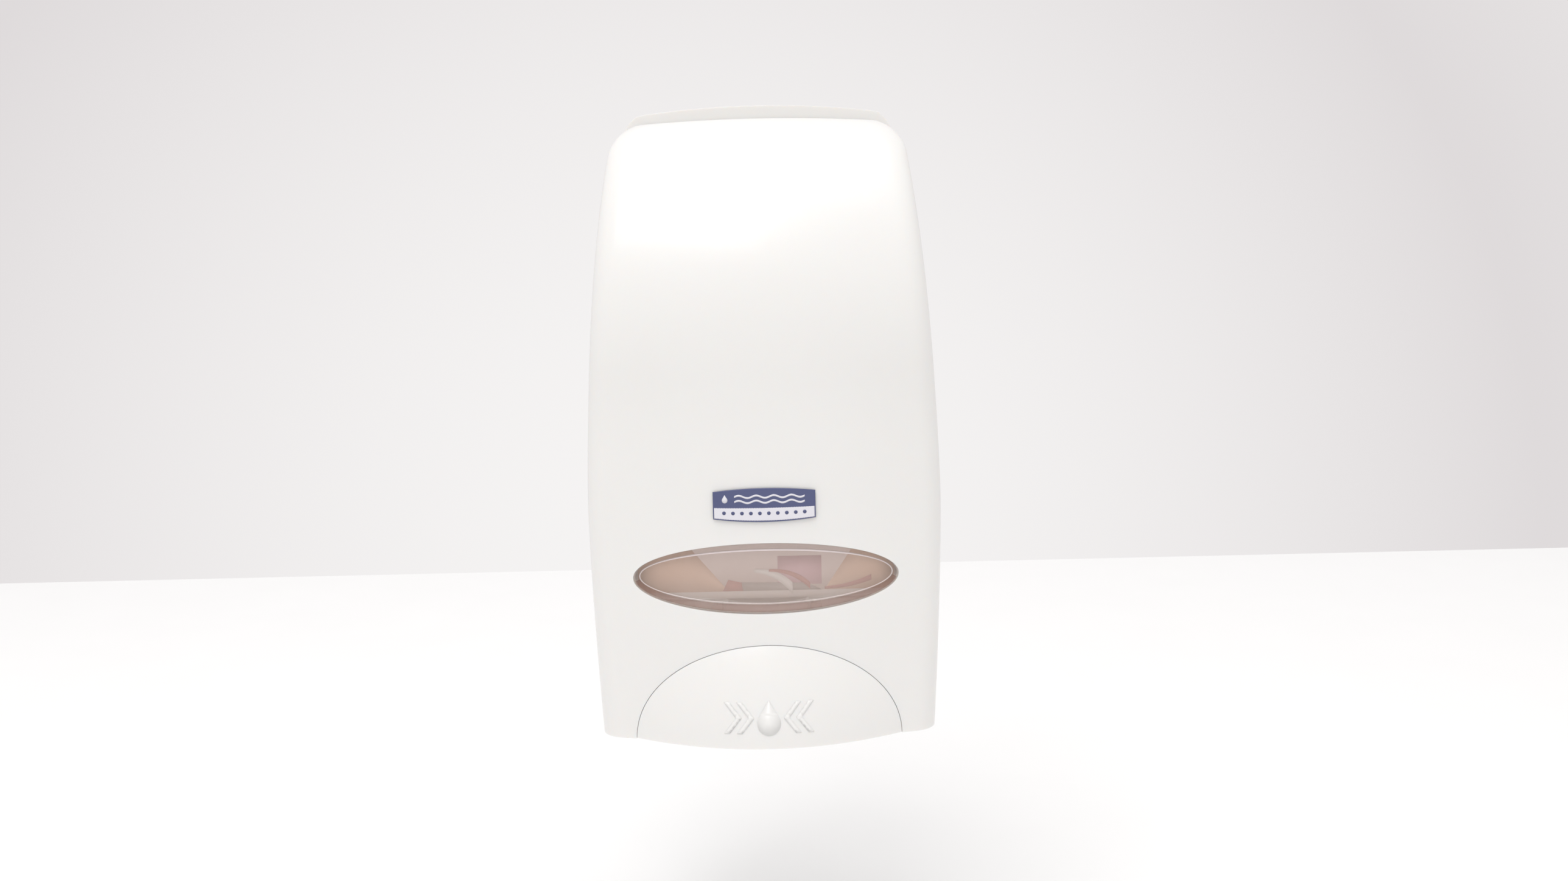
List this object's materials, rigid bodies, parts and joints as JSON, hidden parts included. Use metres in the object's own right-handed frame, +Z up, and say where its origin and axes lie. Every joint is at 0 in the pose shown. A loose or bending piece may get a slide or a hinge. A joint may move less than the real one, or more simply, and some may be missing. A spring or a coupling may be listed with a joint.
{
  "type": "wall mounted soap dispenser",
  "caption": "Wall mounted soap dispenser: a hinged plastic cover with an oval window and an arched push lever over a bottle and its pump.",
  "frame": {"origin": "middle of the four wall screw holes, on the wall plane", "axes": "+X to the right seen from the front, +Y into the wall, +Z up"},
  "size_m": [0.1208, 0.138, 0.2125],
  "materials": {
    "case_white": "glossy moulded plastic, warm white",
    "smoked_lens": "glossy smoked translucent plastic",
    "badge_face": "printed and glossy",
    "frame_grey": "matte moulded plastic",
    "bottle_plastic": "milky blow-moulded plastic",
    "label_paper": "satin film label",
    "pump_white": "satin moulded plastic",
    "rubber_dark": "matte",
    "silicone": "matte",
    "steel": "bright"
  },
  "bodies": {
    "wall_plate": {"back_plate": "case_white", "pump_cradle": "frame_grey", "cradle_screws": "steel", "latch_springs": "steel", "latch_keeper": "frame_grey", "keeper_screws": "steel", "cover_hinge_pins": "steel", "bottle": "bottle_plastic", "bottle_label": "label_paper", "pump_collar": "pump_white", "collar_gasket": "rubber_dark", "pump_body": "pump_white", "inlet_valve": "steel", "pump_spring": "steel", "piston_cap": "pump_white", "outlet_valve": "silicone", "nozzle": "pump_white"},
    "latch": {"latch_slide": "case_white"},
    "cover": {"front_cover": "case_white", "window_lens": "smoked_lens", "badge": "badge_face", "lever_pin": "steel"},
    "lever": {"push_lever": "case_white", "lever_buffer": "rubber_dark"},
    "piston": {"pump_piston": "pump_white", "piston_seal": "rubber_dark"}
  },
  "joints": [
    {"name": "cover_hinge", "type": "hinge", "parent": "wall_plate", "child": "cover", "pos_m": [0, -0.026, -0.1035], "axis": [1, 0, 0], "range_deg": [0, 95]},
    {"name": "lever_press", "type": "hinge", "parent": "cover", "child": "lever", "pos_m": [0, -0.112, -0.0715], "axis": [1, 0, 0], "range_deg": [0, 13], "stiffness_Nm_per_rad": 0.21, "springref_deg": -11.46},
    {"name": "piston_slide", "type": "slide", "parent": "wall_plate", "child": "piston", "axis": [0, 1, 0], "range_m": [0, 0.0053], "deforming": ["pump_spring"]},
    {"name": "latch_press", "type": "slide", "parent": "wall_plate", "child": "latch", "axis": [0, 0, -1], "range_m": [0, 0.0035], "stiffness_N_per_m": 300, "springref_m": -0.003, "deforming": ["latch_springs"]}
  ],
  "couplings": [
    {"joint": "piston_slide", "follows": "lever_press", "m_per_rad": 0.023}
  ]
}
